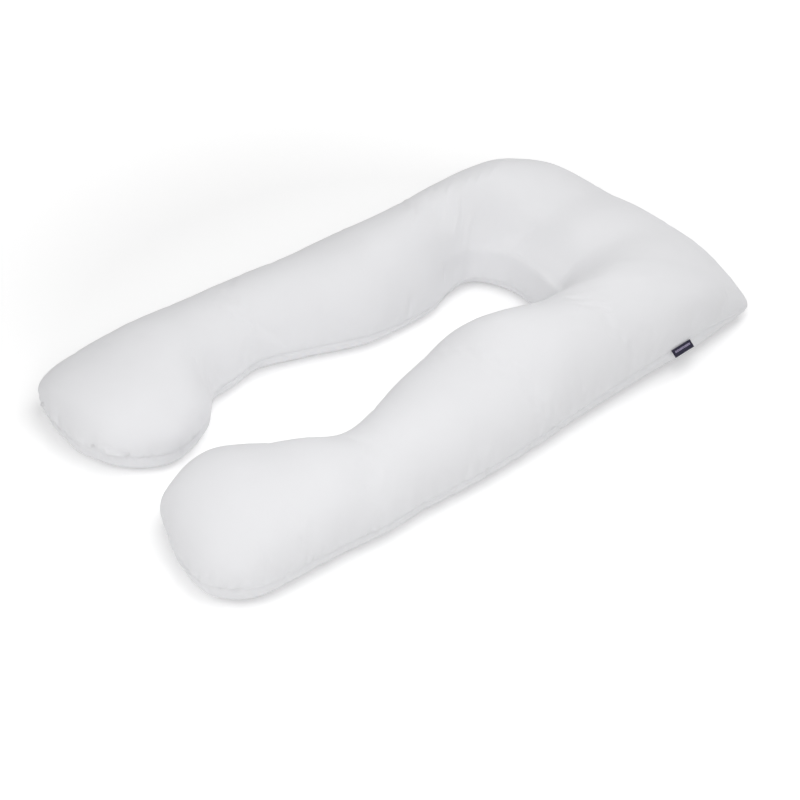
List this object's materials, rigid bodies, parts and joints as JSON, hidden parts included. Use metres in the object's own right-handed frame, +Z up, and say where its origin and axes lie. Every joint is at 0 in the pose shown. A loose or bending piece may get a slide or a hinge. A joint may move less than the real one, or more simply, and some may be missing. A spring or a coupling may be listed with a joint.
{
  "type": "body pillow",
  "caption": "U-shaped body pillow: one filled cotton-covered bolster bent round a keyhole gap, with rounded arm ends, two pointed head corners and a small woven label in the seam.",
  "frame": {"origin": "middle of the bounding box at the underside, on the surface the pillow lies on", "axes": "+Y from the two arm ends to the head, +Z up, +X towards the arm that carries the label"},
  "size_m": [0.8, 1.4837, 0.2203],
  "materials": {
    "cover": "matt white plain-weave cotton",
    "label": "dark navy woven tape, plain"
  },
  "bodies": {
    "root": {"pillow": "cover", "label": "label"}
  },
  "joints": []
}
